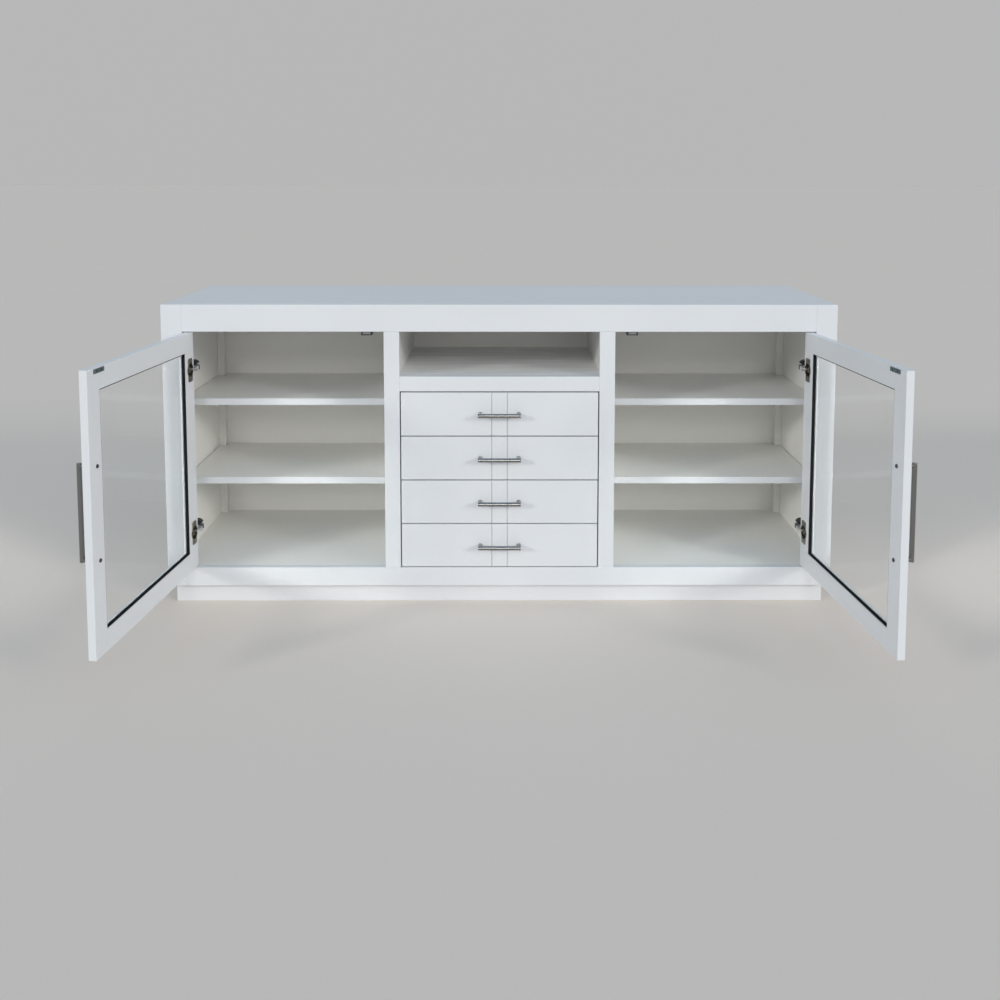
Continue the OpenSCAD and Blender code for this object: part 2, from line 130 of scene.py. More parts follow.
def object_place(tree, turn=0.0, scale=(1, 1, 1)):
    """The point on the piece, turned about the upright axis and scaled."""
    coordinates = add_node(tree, "ShaderNodeTexCoord").outputs["Object"]
    mapping = add_node(tree, "ShaderNodeMapping", Vector=coordinates, Rotation=(0, 0, turn), Scale=scale)
    return mapping.outputs["Vector"]


def noise(tree, place, scale, detail=3.0, roughness=0.5, distortion=0.0):
    return add_node(tree, "ShaderNodeTexNoise", Vector=place, Scale=scale, Detail=detail,
                    Roughness=roughness, Distortion=distortion).outputs["Fac"]


def spread(tree, value, low, high, from_low=0.3, from_high=0.7):
    """A value between two others, driven by a noise."""
    made = add_node(tree, "ShaderNodeMapRange", Value=value)
    made.inputs["From Min"].default_value = from_low
    made.inputs["From Max"].default_value = from_high
    made.inputs["To Min"].default_value = low
    made.inputs["To Max"].default_value = high
    return made.outputs["Result"]


def blend_colours(tree, share, first, second):
    """A mix of two colours, each a value or a socket."""
    mix = tree.nodes.new("ShaderNodeMix")
    mix.data_type = "RGBA"
    for socket, value in zip((mix.inputs[0], mix.inputs[6], mix.inputs[7]), (share, first, second)):
        if isinstance(value, bpy.types.NodeSocket):
            tree.links.new(value, socket)
        else:
            socket.default_value = (*value, 1.0) if isinstance(value, tuple) else value
    return mix.outputs[2]


def math_node(tree, operation, first, second=0.0):
    made = tree.nodes.new("ShaderNodeMath")
    made.operation = operation
    for socket, value in zip(made.inputs, (first, second)):
        if isinstance(value, bpy.types.NodeSocket):
            tree.links.new(value, socket)
        else:
            socket.default_value = value
    return made.outputs[0]


def vector_node(tree, operation, first, second):
    """A vector operation. SCALE takes its factor second, and DOT_PRODUCT gives a plain value."""
    made = tree.nodes.new("ShaderNodeVectorMath")
    made.operation = operation
    sockets = (made.inputs[0], made.inputs["Scale"] if operation == "SCALE" else made.inputs[1])
    for socket, value in zip(sockets, (first, second)):
        if isinstance(value, bpy.types.NodeSocket):
            tree.links.new(value, socket)
        else:
            socket.default_value = value
    return made.outputs["Value" if operation == "DOT_PRODUCT" else "Vector"]


def bump(tree, height, distance, strength=1.0):
    made = add_node(tree, "ShaderNodeBump", Height=height, Distance=distance, Strength=strength)
    return made.outputs["Normal"]


def shade(colour, factor):
    return tuple(min(1.0, c * factor) for c in colour)


PAINT = (0.765, 0.782, 0.803)
# The paint inside the bays is the same white paint made warmer and lighter: painted warm bounce light, not a
# second paint.
PAINT_WITH_PAINTED_INNER_LIGHT = (0.87, 0.862, 0.828)
WASH_LIGHT, WASH_DARK = (0.97, 0.97, 0.96), (0.75, 0.73, 0.70)
PLY_LIGHT, PLY_DARK, PLY_PORES = (0.70, 0.56, 0.38), (0.58, 0.43, 0.26), (0.40, 0.28, 0.16)
GLASS_TINT, GLASS_SHADOW, GLASS_IOR = (0.985, 0.995, 0.99, 1.0), (0.97, 0.99, 0.985, 1.0), 1.14
GRAIN_SCALE = {"X": (0.06, 1, 1), "Y": (1, 0.06, 1), "Z": (1, 1, 0.06)}


# ---------------------------------------------------------------- materials

def painted(name, colour, grain, turn, roughness, grain_depth):
    """Satin paint over wood: faint grain, spray texture and a slow drift in tone and gloss."""
    material, tree, output = new_material(name)
    plain = object_place(tree, turn)
    along = object_place(tree, turn, GRAIN_SCALE[grain])
    cloud = noise(tree, plain, 3.1, detail=4.0)
    fibre = noise(tree, along, 520.0, detail=5.0, roughness=0.62)
    spray = noise(tree, plain, 1500.0, detail=1.0)
    height = math_node(tree, "ADD", math_node(tree, "MULTIPLY", fibre, grain_depth),
                       math_node(tree, "MULTIPLY", spray, 0.25))
    tone = blend_colours(tree, spread(tree, cloud, 0.0, 1.0), shade(colour, 0.975), shade(colour, 1.015))
    tone = blend_colours(tree, spread(tree, fibre, 0.0, 0.10 * grain_depth, 0.55, 0.8),
                         tone, shade(colour, 0.80))
    shader = add_node(tree, "ShaderNodeBsdfPrincipled", Base_Color=tone,
                      Roughness=spread(tree, cloud, roughness - 0.03, roughness + 0.04),
                      Normal=bump(tree, height, 0.00009, 0.55))
    tree.links.new(shader.outputs["BSDF"], output.inputs["Surface"])
    return material


def washed_wood(name, grain, turn):
    """Open-grained wood under a thin white wash."""
    material, tree, output = new_material(name)
    along = object_place(tree, turn, GRAIN_SCALE[grain])
    wide = noise(tree, along, 45.0, detail=6.0, roughness=0.65, distortion=0.5)
    pores = noise(tree, along, 560.0, detail=7.0, roughness=0.7)
    streak = math_node(tree, "ADD", math_node(tree, "MULTIPLY", wide, 0.55),
                       math_node(tree, "MULTIPLY", pores, 0.45))
    tone = blend_colours(tree, spread(tree, streak, 0.0, 1.0, 0.40, 0.62), WASH_LIGHT, WASH_DARK)
    shader = add_node(tree, "ShaderNodeBsdfPrincipled", Base_Color=tone,
                      Roughness=spread(tree, streak, 0.42, 0.60), Normal=bump(tree, pores, 0.0004, 0.5))
    tree.links.new(shader.outputs["BSDF"], output.inputs["Surface"])
    return material


def clear_wood(name, grain, turn):
    """Sealed light plywood with growth-ring figure."""
    material, tree, output = new_material(name)
    along = object_place(tree, turn, GRAIN_SCALE[grain])
    figure = noise(tree, along, 38.0, detail=4.0, roughness=0.55, distortion=1.2)
    rings = math_node(tree, "SINE", math_node(tree, "MULTIPLY", figure, 60.0))
    fibre = noise(tree, along, 600.0, detail=5.0, roughness=0.65)
    tone = blend_colours(tree, spread(tree, rings, 0.0, 1.0, -1.0, 1.0), PLY_LIGHT, PLY_DARK)
    tone = blend_colours(tree, spread(tree, fibre, 0.0, 0.35, 0.5, 0.8), tone, PLY_PORES)
    shader = add_node(tree, "ShaderNodeBsdfPrincipled", Base_Color=tone,
                      Roughness=spread(tree, fibre, 0.38, 0.52), Normal=bump(tree, fibre, 0.0002, 0.4))
    tree.links.new(shader.outputs["BSDF"], output.inputs["Surface"])
    return material


def metal(name, colour, roughness, grain, turn, brush):
    """Metal with fine brush lines along one direction, or with an even satin where brush is small."""
    material, tree, output = new_material(name)
    along = object_place(tree, turn, GRAIN_SCALE[grain])
    lines = noise(tree, along, 2600.0, detail=3.0, roughness=0.6)
    smudge = noise(tree, object_place(tree, turn), 90.0, detail=3.0)
    tone = blend_colours(tree, spread(tree, lines, 0.0, 1.0),
                         shade(colour, 1.0 - brush), shade(colour, 1.0 + brush))
    rough = math_node(tree, "ADD", spread(tree, lines, roughness - 0.05, roughness + 0.05),
                      spread(tree, smudge, 0.0, 0.06))
    shader = add_node(tree, "ShaderNodeBsdfPrincipled", Base_Color=tone, Metallic=1.0, Roughness=rough,
                      Normal=bump(tree, lines, 0.00003, 0.4))
    tree.links.new(shader.outputs["BSDF"], output.inputs["Surface"])
    return material


def dark_coat(name, colour, roughness, gloss, turn, texture):
    """Black coated metal, plastic or rubber with a fine texture."""
    material, tree, output = new_material(name)
    place = object_place(tree, turn)
    grit = noise(tree, place, texture, detail=3.0, roughness=0.6)
    dust = noise(tree, place, 40.0, detail=5.0, roughness=0.65)
    tone = blend_colours(tree, spread(tree, dust, 0.0, 1.0, 0.45, 0.75), colour, shade(colour, 1.8))
    shader = add_node(tree, "ShaderNodeBsdfPrincipled", Base_Color=tone,
                      Roughness=spread(tree, dust, roughness - 0.05, roughness + 0.08),
                      Specular_IOR_Level=gloss, Normal=bump(tree, grit, 0.00006, 0.5))
    tree.links.new(shader.outputs["BSDF"], output.inputs["Surface"])
    return material


def clear_glass(name):
    """Clear glass with the faintest green and a trace of haze, which casts next to no shadow."""
    material, tree, output = new_material(name)
    haze = noise(tree, object_place(tree), 9.0, detail=4.0)
    glass = add_node(tree, "ShaderNodeBsdfPrincipled", Base_Color=GLASS_TINT, IOR=GLASS_IOR,
                     Roughness=spread(tree, haze, 0.0, 0.02, 0.5, 0.9), Transmission_Weight=1.0)
    clear = add_node(tree, "ShaderNodeBsdfTransparent", Color=GLASS_SHADOW)
    path = add_node(tree, "ShaderNodeLightPath")
    mix = tree.nodes.new("ShaderNodeMixShader")
    tree.links.new(path.outputs["Is Shadow Ray"], mix.inputs[0])
    tree.links.new(glass.outputs["BSDF"], mix.inputs[1])
    tree.links.new(clear.outputs["BSDF"], mix.inputs[2])
    tree.links.new(mix.outputs[0], output.inputs["Surface"])
    return material


# (roughness, depth of the grain) of each paint
SATIN, MATT = (0.36, 0.6), (0.42, 1.0)
# (colour, roughness) and the strength of the brush lines of each metal
NICKEL = ((0.27, 0.265, 0.255), 0.14), 0.08
DULL_NICKEL = ((0.31, 0.285, 0.24), 0.24), 0.05
ZINC = ((0.74, 0.74, 0.76), 0.30), 0.06
# (colour, roughness, gloss) and the fineness of the texture of each dark coat
BLACK_METAL = ((0.022, 0.024, 0.027), 0.34, 0.5), 1800.0
BLUED_STEEL = ((0.075, 0.105, 0.115), 0.40, 0.5), 1800.0
RUBBER = ((0.006, 0.006, 0.007), 0.70, 0.15), 1200.0

MAKERS = {
    "paint": lambda name, grain, turn: painted(name, PAINT, grain, turn, *SATIN),
    # The inside paint: the white paint in a warmer, lighter colour and a matt finish, painted warm bounce
    # light for the bay interiors.
    "paint_inside": lambda name, grain, turn: painted(name, PAINT_WITH_PAINTED_INNER_LIGHT, grain, turn, *MATT),
    "wash_wood": washed_wood,
    "raw_wood": clear_wood,
    "brushed_nickel": lambda name, grain, turn: metal(name, *NICKEL[0], grain, turn, NICKEL[1]),
    "hinge_nickel": lambda name, grain, turn: metal(name, *DULL_NICKEL[0], grain, turn, DULL_NICKEL[1]),
    "zinc_steel": lambda name, grain, turn: metal(name, *ZINC[0], grain, turn, ZINC[1]),
    "black_metal": lambda name, grain, turn: dark_coat(name, *BLACK_METAL[0], turn, BLACK_METAL[1]),
    "blued_steel": lambda name, grain, turn: dark_coat(name, *BLUED_STEEL[0], turn, BLUED_STEEL[1]),
    "black_rubber": lambda name, grain, turn: dark_coat(name, *RUBBER[0], turn, RUBBER[1]),
    "clear_glass": lambda name, grain, turn: clear_glass(name),
}
made_materials = {}


def material_for(look, grain="X", turn=0.0):
    """The material of a slot or other look, with its grain along X, Y or Z after the turn."""
    key = (look, grain, round(turn, 4))
    if key not in made_materials:
        turned = ["turned"] if turn > 0 else ["turned_back"] if turn < 0 else []
        name = "_".join([look, grain.lower()] + turned)
        made_materials[key] = MAKERS[look](name, grain, turn)
    return made_materials[key]


# ---------------------------------------------------------------- mesh helpers

def merge(target, part, place=IDENTITY):
    """Adds one bmesh to another. A mirrored part has its faces turned right way out."""
    part.transform(place)
    if place.determinant() < 0:
        bmesh.ops.reverse_faces(part, faces=part.faces)
    mesh = bpy.data.meshes.new("part")
    part.to_mesh(mesh)
    part.free()
    target.from_mesh(mesh)
    bpy.data.meshes.remove(mesh)


def bevel(bm, edges, width, segments=3):
    if edges and width > 0:
        bmesh.ops.bevel(bm, geom=edges, offset=width, segments=segments, profile=0.5,
                        affect="EDGES", clamp_overlap=True)


def sharp_edges(bm, least_length=0.0, angle=SHARP_DEGREES):
    """The edges between faces that meet at more than this angle, in degrees."""
    return [e for e in bm.edges if len(e.link_faces) == 2 and e.calc_length() > least_length
            and e.calc_face_angle() > math.radians(angle)]


def board(low, high, ease, end_ease):
    """A board with rounded edges: ease along its length, end_ease round its two ends."""
    bm = bmesh.new()
    size = high - low
    axis = max(range(3), key=lambda i: size[i])
    place = Matrix.Translation((low + high) / 2) @ Matrix.Diagonal((*size, 1))
    bmesh.ops.create_cube(bm, size=1, matrix=place)
    bevel(bm, [e for e in bm.edges if abs((e.verts[0].co - e.verts[1].co)[axis]) > size[axis] / 2], ease)
    bm.normal_update()
    ends = {e for f in bm.faces if abs(f.normal[axis]) > 0.999 for e in f.edges}
    bevel(bm, list(ends), end_ease, 2)
    return bm


def linked(bm):
    """The separate solids in a bmesh, each as its list of faces."""
    left, found = set(bm.faces), []
    while left:
        stack, island = [left.pop()], []
        while stack:
            face = stack.pop()
            island.append(face)
            for other in {f for e in face.edges for f in e.link_faces} & left:
                left.remove(other)
                stack.append(other)
        found.append(island)
    return sorted(found, key=lambda fs: tuple(round(c, 4) for c in fs[0].calc_center_median()))


def cad_solid(node, place=IDENTITY):
    """A welded copy of a CAD node, its flat faces joined, moved by place."""
    bm = bmesh.new()
    bm.from_mesh(frame["nodes"][node].data)
    bm.transform(place)
    bmesh.ops.remove_doubles(bm, verts=bm.verts, dist=WELD)
    bmesh.ops.dissolve_limit(bm, angle_limit=math.radians(1), verts=bm.verts, edges=bm.edges)
    return bm


def corners(points):
    """The lowest and highest corner of some points."""
    points = list(points)
    return Vector(map(min, zip(*points))), Vector(map(max, zip(*points)))


def solid_boxes(node, place=IDENTITY):
    """The box of each separate solid in a CAD node, from the lowest up."""
    bm = cad_solid(node, place)
    boxes = [corners(v.co for f in island for v in f.verts) for island in linked(bm)]
    bm.free()
    return sorted(boxes, key=lambda b: (round(b[0].z, 4), round(b[0].x, 4)))


def eased(node, ease, end_ease, place=IDENTITY):
    """A CAD node's solids with their edges rounded."""
    whole = cad_solid(node, place)
    result = bmesh.new()
    for island in linked(whole):
        verts = {v for f in island for v in f.verts}
        low, high = corners(v.co for v in verts)
        if len(verts) == 8:
            merge(result, board(low, high, ease, end_ease))
            continue
        part = whole.copy()
        keep = {tuple(v.co) for v in verts}
        bmesh.ops.delete(part, geom=[v for v in part.verts if tuple(v.co) not in keep], context="VERTS")
        bevel(part, sharp_edges(part, least_length=8 * MM), end_ease, 2)
        merge(result, part)
    whole.free()
    return result


def lathe(profile, place=IDENTITY, steps=40):
    """A profile of (radius, height) points turned about the upright axis and closed at both ends."""
    bm = bmesh.new()
    rings = []
    for radius, height in profile:
        angles = [2 * math.pi * i / steps for i in range(1 if radius == 0 else steps)]
        rings.append([bm.verts.new((radius * math.cos(a), radius * math.sin(a), height)) for a in angles])
    for low, high in zip(rings, rings[1:]):
        for i in range(steps):
            around = [low[i % len(low)], low[(i + 1) % len(low)],
                      high[(i + 1) % len(high)], high[i % len(high)]]
            unique = list(dict.fromkeys(around))
            if len(unique) > 2:
                bm.faces.new(unique)
    for ring, step in ((rings[0], -1), (rings[-1], 1)):
        if len(ring) > 1:
            bm.faces.new(ring[::step])
    bm.transform(place)
    return bm


def plate(outline, thickness, place=IDENTITY, ease=0.0, least=0.0):
    """An outline in the XY plane made thickness thick, with its sharp edges eased."""
    bm = bmesh.new()
    face = bm.faces.new([bm.verts.new((x, y, 0)) for x, y in outline])
    top = bmesh.ops.extrude_face_region(bm, geom=[face])["geom"]
    raised = [v for v in top if isinstance(v, bmesh.types.BMVert)]
    bmesh.ops.translate(bm, vec=(0, 0, thickness), verts=raised)
    bmesh.ops.recalc_face_normals(bm, faces=bm.faces)
    bevel(bm, sharp_edges(bm, least), ease, 2)
    bm.transform(place)
    return bm


def arc(x, y, radius, start, end, steps=10):
    """Points on an arc, angles in degrees."""
    angles = [math.radians(start + (end - start) * i / steps) for i in range(steps + 1)]
    return [(x + radius * math.cos(a), y + radius * math.sin(a)) for a in angles]


def rounded_rectangle(width, height, radius, steps=6):
    x, y = width / 2 - radius, height / 2 - radius
    return (arc(x, y, radius, 0, 90, steps) + arc(-x, y, radius, 90, 180, steps)
            + arc(-x, -y, radius, 180, 270, steps) + arc(x, -y, radius, 270, 360, steps))


def screw_head(radius, height):
    """A domed head with a cross recess, standing on the XY plane."""
    bm = lathe([(radius, 0), (radius, 0.45 * height), (0.93 * radius, 0.75 * height),
                (0.78 * radius, 0.94 * height), (0.66 * radius, height)], steps=32)
    top = max(bm.faces, key=lambda f: f.calc_center_median().z)
    rim = list(top.edges)
    bm.faces.remove(top)
    arm, reach = 0.11 * radius, 0.48 * radius
    cross = [(reach, -arm), (reach, arm), (arm, arm), (arm, reach), (-arm, reach), (-arm, arm),
             (-reach, arm), (-reach, -arm), (-arm, -arm), (-arm, -reach), (arm, -reach), (arm, -arm)]
    upper = [bm.verts.new((x, y, height)) for x, y in cross]
    lower = [bm.verts.new((0.7 * x, 0.7 * y, 0.35 * height)) for x, y in cross]
    inner = [bm.edges.new((a, b)) for a, b in zip(upper, upper[1:] + upper[:1])]
    bmesh.ops.triangle_fill(bm, use_beauty=True, use_dissolve=False, edges=rim + inner)
    for i in range(len(cross)):
        j = (i + 1) % len(cross)
        bm.faces.new((upper[i], upper[j], lower[j], lower[i]))
    bm.faces.new(lower)
    bmesh.ops.recalc_face_normals(bm, faces=bm.faces)
    return bm


def finish_piece(name, bm, body, nodes, slot, grain="X", turn=0.0, place=IDENTITY, look=None):
    """Makes a piece of a bmesh: shaded, given its material, riding on its body, for these CAD nodes.

    Its look is the one of its slot, unless another is named.
    """
    mesh = bpy.data.meshes.new(name)
    whole = bmesh.new()
    merge(whole, bm, place)
    whole.to_mesh(mesh)
    whole.free()
    mesh.shade_smooth()
    mesh.set_sharp_from_angle(angle=math.radians(SHARP_DEGREES))
    mesh.materials.append(material_for(look or slot, grain, turn))
    piece = bpy.data.objects.new(name, mesh)
    bpy.context.scene.collection.objects.link(piece)
    normals = piece.modifiers.new("normals", "WEIGHTED_NORMAL")
    normals.keep_sharp = True
    normals.weight = 90
    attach(piece, body)
    if nodes:
        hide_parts(*nodes)
    return piece


# ---------------------------------------------------------------- doors' places

def closing(body):
    """Carries a door from its open rest place to its closed place."""
    joint = next(j for j in frame["joints"] if j["child"] == body)
    angle = math.radians(max(joint["range_deg"], key=abs))
    pivot = Matrix.Translation(Vector(joint["pos_m"]))
    return pivot @ Matrix.Rotation(angle, 4, "Z") @ pivot.inverted(), angle


def door_places(side):
    """What takes a door's CAD to the closed left door, what takes that back, and the turn of its grain."""
    close, angle = closing(f"{side}_door")
    to_left = close if side == "left" else MIRROR @ close
    return to_left, to_left.inverted(), angle


# ---------------------------------------------------------------- cabinet

def cabinet_boards():
    """Every flat board of the cabinet, with its eased edges."""
    rows = (
        ("top_board", "top_panel", "paint", "X", 1.4, 0.5),
        ("rail_under_top", "top_rail", "paint", "X", 1.3, 0.35),
        ("rail_above_plinth", "base_rail", "paint", "X", 1.3, 0.35),
        ("posts", "front_posts", "paint", "Z", 1.1, 1.2),
        ("stiles", "partition_stiles", "paint", "Z", 1.2, 0.2),
        ("rail_under_niche", "niche_rail", "paint", "X", 1.3, 0.25),
        ("plinth_boards", "plinth", "paint", "X", 1.0, 0.4),
        ("left_side", "left_side_panel", "paint", "Z", 0.8, 0.8),
        ("right_side", "right_side_panel", "paint", "Z", 0.8, 0.8),
        # Boards inside the bays take the inside paint, which carries painted warm bounce light.
        ("blocks_behind_posts", "hinge_blocks", "paint_inside", "Z", 0.8, 0.4),
        ("bay_floor", "bottom_panel", "paint_inside", "X", 0.5, 0.5),
        ("back_board", "back_panel", "paint_inside", "X", 0.5, 0.5),
        ("corner_strips", "back_corner_strips", "paint_inside", "Z", 1.2, 0.4),
        ("left_partition_board", "left_partition", "paint_inside", "Z", 0.6, 0.6),
        ("right_partition_board", "right_partition", "paint_inside", "Z", 0.6, 0.6),
        ("niche_floor", "niche_shelf", "wash_wood", "X", 0.4, 0.3),
        ("shelf_left_upper", "left_upper_shelf", "paint", "X", 1.0, 0.2),
        ("shelf_left_lower", "left_lower_shelf", "paint", "X", 1.0, 0.2),
        ("shelf_right_upper", "right_upper_shelf", "paint", "X", 1.0, 0.2),
        ("shelf_right_lower", "right_lower_shelf", "paint", "X", 1.0, 0.2),
    )
    for name, node, slot, grain, ease, end_ease in rows:
        made = finish_piece(name, eased(node, ease * MM, end_ease * MM), "cabinet", [node], slot, grain)
        # The inner faces of the side panels and the tops and bottoms of the shelves get the inside paint,
        # which is painted warm bounce light. Their fronts keep the plain paint.
        if node == "left_side_panel":
            give_faces_painted_inner_light(made, grain, [RIGHTWARDS])
        elif node == "right_side_panel":
            give_faces_painted_inner_light(made, grain, [-RIGHTWARDS])
        elif name.startswith("shelf"):
            give_faces_painted_inner_light(made, grain, [UPWARDS, -UPWARDS])


def give_faces_painted_inner_light(piece, grain, directions):
    """Gives the faces of a board that look these ways a warmer, lighter copy of the paint: painted bounce
    light inside the bays.
    """
    piece.data.materials.append(material_for("paint_inside", grain))
    for face in piece.data.polygons:
        if any(face.normal.dot(direction) > 0.7 for direction in directions):
            face.material_index = 1


# How deep a shelf pin sits in its board, and its collar's width and size beside the pin's
PIN_HOLE = 9 * MM
COLLAR_WIDTH, COLLAR_SIZE = 1.0 * MM, 1.25


def shelf_supports():
    """Pins with a collar at the board and a rounded end under the shelf."""
    bm = bmesh.new()
    for low, high in solid_boxes("shelf_pins"):
        radius = (high.z - low.z) / 2
        length = high.x - low.x
        outward = -1 if (low.x + high.x) / 2 > 0 else 1
        near_side = abs(low.x + high.x) / 2 > (cad_bounds[1].x - cad_bounds[0].x) / 4
        toward = outward if near_side else -outward
        start = Vector((low.x if toward > 0 else high.x, (low.y + high.y) / 2, (low.z + high.z) / 2))
        collar = PIN_HOLE + 0.1 * MM
        profile = [(0.9 * radius, 0), (radius, 0.5 * MM), (radius, PIN_HOLE),
                   (COLLAR_SIZE * radius, collar), (COLLAR_SIZE * radius, collar + COLLAR_WIDTH),
                   (0.97 * radius, collar + COLLAR_WIDTH + 0.2 * MM),
                   (0.97 * radius, length - 0.8 * MM), (0.6 * radius, length), (0, length)]
        turn = UP_TO_RIGHT if toward > 0 else UP_TO_RIGHT.inverted()
        merge(bm, lathe(profile, Matrix.Translation(start) @ turn, 20))
    finish_piece("pins_under_shelves", bm, "cabinet", ["shelf_pins"], "zinc_steel", "X")


# Millimetres: how far the catch's poles lie under the rail, and in from its ends
POLE_DROPS = (5.6, 8.6)
POLE_INSET = 3.6


def catches():
    """Black housings with the bright ends of their pole plates showing at the front."""
    housing = eased("magnetic_catches", 0.5 * MM, 0.5 * MM)
    finish_piece("catch_housings", housing, "cabinet", ["magnetic_catches"], "black_metal", "X")
    rail_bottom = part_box("top_rail")[0].z
    poles = bmesh.new()
    for low, high in solid_boxes("magnetic_catches"):
        for drop in POLE_DROPS:
            z = rail_bottom - drop * MM
            merge(poles, board(Vector((low.x + POLE_INSET * MM, low.y + 0.3 * MM, z - 0.8 * MM)),
                               Vector((high.x - POLE_INSET * MM, low.y + 6 * MM, z + 0.8 * MM)),
                               0.3 * MM, 0.3 * MM))
    finish_piece("catch_poles", poles, "cabinet", [], "zinc_steel", "X")


# ---------------------------------------------------------------- hinges

# Millimetres: a flange screw's radius and height, how far the CAD cup stands proud of the door,
# and the pin at the arm's tip, from the arm's origin
HINGE_SCREW = (3.5, 1.6)
CUP_PROUD = 2.8
ARM_PIN = (32.3, 21.5)


def hinge_cup():
    """Cup and flange in millimetres.

    The origin lies on the door's inner face, +Y points out of the door and +X to its free edge.
    """
    bm = bmesh.new()
    wall, radius, depth, proud = 0.6, 17.5, 11.0, 1.2
    dish = [(0, -depth), (radius - 2, -depth), (radius - 0.4, -depth + 1.6), (radius, -depth + 3),
            (radius, proud - 0.3), (radius - 0.2, proud), (radius - wall, proud),
            (radius - wall, -depth + 3.2), (radius - 2.4, -depth + wall), (0, -depth + wall)]
    merge(bm, lathe(dish, UP_TO_BACK, 48))
    for end in (-1, 1):
        ear = ([(-12, 12.9)] + arc(-7, 26, 5, 180, 90, 5) + arc(8, 26, 5, 90, 0, 5)
               + [(13, 11.9)] + arc(0, 0, radius + 0.1, 42, 133, 14))
        ear = [(x, end * y) for x, y in ear]
        ear = ear if end > 0 else ear[::-1]
        merge(bm, plate(ear, proud, UP_TO_FRONT @ Matrix.Translation((0, 0, -proud)), 0.25))
        spot = Matrix.Translation((3, proud, end * 24)) @ UP_TO_BACK
        merge(bm, screw_head(*HINGE_SCREW), spot)
    for z in (-5.6, 5.6):
        merge(bm, board(Vector((-9.5, -10.2, z - 0.8)), Vector((9.5, -1.2, z + 0.8)), 0.5, 0.3))
    merge(bm, lathe([(0, -7), (1.6, -7), (1.6, 7), (0, 7)], Matrix.Translation((-5, -4.5, 0)), 20))
    return bm


def hinge_arm():
    """Arm and mounting plate in millimetres.

    The origin lies where the post's inner face meets the front plane, and +X points into the bay.
    """
    bm = bmesh.new()
    foot = rounded_rectangle(34, 56, 7)
    upright = Matrix.Rotation(math.radians(90), 4, "Z") @ UP_TO_FRONT
    merge(bm, plate(foot, 2.6, Matrix.Translation((0, 43, 1)) @ upright, 0.5))
    for z in (-20, 23):
        merge(bm, screw_head(4.0, 1.8), Matrix.Translation((2.8, 43, z)) @ UP_TO_RIGHT)
    merge(bm, board(Vector((2, 32, -11)), Vector((27, 48.5, 4)), 2.6, 1.2))
    merge(bm, board(Vector((26.4, 34, -7)), Vector((27.4, 47, 0)), 0.4, 0.4))
    cheek = ([(19, 36), (19, 48), (26, 48), (30, 39), (34.6, 24)]
             + arc(*ARM_PIN, 2.6, 20, -170, 10) + [(27, 30)])
    for z in (-5, 3):
        merge(bm, plate(cheek, 2, Matrix.Translation((0, 0, z)), 0.4, 0.6))
    merge(bm, lathe([(0, -5.4), (1.5, -5.4), (1.5, 5.4), (0, 5.4)], Matrix.Translation((*ARM_PIN, 0)), 24))
    return bm


def hinge_clip():
    """The dark parts of the arm: its clip with two screws, and the end of its housing.

    In millimetres, from the same origin as the arm.
    """
    bm = bmesh.new()
    merge(bm, board(Vector((2.8, 34, 4.8)), Vector((20, 54, 17.4)), 1.2, 1.0))
    merge(bm, board(Vector((19.5, 36, 6.0)), Vector((24.5, 52, 16.4)), 1.6, 1.0))
    for y in (40, 48):
        merge(bm, screw_head(3.4, 3.4), Matrix.Translation((24.2, y, 11.2)) @ UP_TO_RIGHT)
    merge(bm, board(Vector((12, 48.3, -10)), Vector((28.6, 52.6, 3.6)), 2.0, 1.4))
    return bm


def hinges():
    """Both halves of every hinge. The links between them keep their CAD shape."""
    post_inner = min(high.x for low, high in solid_boxes("front_posts"))
    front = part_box("front_posts")[0].y
    scale = Matrix.Scale(MM, 4)
    arms, clips = bmesh.new(), bmesh.new()
    for side in SIDES:
        to_left, from_left, turn = door_places(side)
        body = f"{side}_door"
        cups = bmesh.new()
        for low, high in solid_boxes(f"{body}_hinge_cups", to_left):
            door_inner = high.y - CUP_PROUD * MM
            middle = (low + high) / 2
            merge(cups, hinge_cup(), Matrix.Translation((middle.x, door_inner, middle.z)) @ scale)
            spot = Matrix.Translation((post_inner, front, middle.z)) @ scale
            spot = spot if side == "left" else MIRROR @ spot
            merge(arms, hinge_arm(), spot)
            merge(clips, hinge_clip(), spot)
        finish_piece(f"{side}_cups", cups, body, [f"{body}_hinge_cups"], "hinge_nickel", "Z", turn, from_left)
        links = frame["nodes"][f"{side}_hinge_links"]
        links.data.materials.clear()
        links.data.materials.append(material_for("zinc_steel", "Z"))
    finish_piece("arms_and_plates", arms, "cabinet", ["hinge_arms"], "zinc_steel", "Z")
    finish_piece("clips_on_plates", clips, "cabinet", [], "black_metal", "Z")


# ---------------------------------------------------------------- doors

# The heads of the screws that hold the pulls: their height, and the radius of a drawer's
PULL_SCREW_HEAD = 2.6 * MM
DRAWER_SCREW_RADIUS = 4.5 * MM


def pull_mesh(length, diameter, reach, screws):
    """A bar pull in metres: the bar along Z in front of the face at y = 0, posts at +-screws / 2."""
    bm = bmesh.new()
    radius = diameter / 2
    ease = 0.7 * MM
    half = length / 2
    bar = [(0, -half), (radius - ease, -half), (radius - 0.3 * ease, -half + 0.3 * ease),
           (radius, -half + ease), (radius, half - ease), (radius - 0.3 * ease, half - 0.3 * ease),
           (radius - ease, half), (0, half)]
    merge(bm, lathe(bar, Matrix.Translation((0, -reach + radius, 0)), 48))
    post = radius - 1.0 * MM
    for z in (-screws / 2, screws / 2):
        stem = [(0, 0), (radius - 0.2 * MM, 0), (radius, 0.3 * MM), (radius, 1.2 * MM), (post, 1.6 * MM),
                (post, reach - radius), (0, reach - radius)]
        merge(bm, lathe(stem, Matrix.Translation((0, 0, z)) @ UP_TO_FRONT, 40))
    return bm


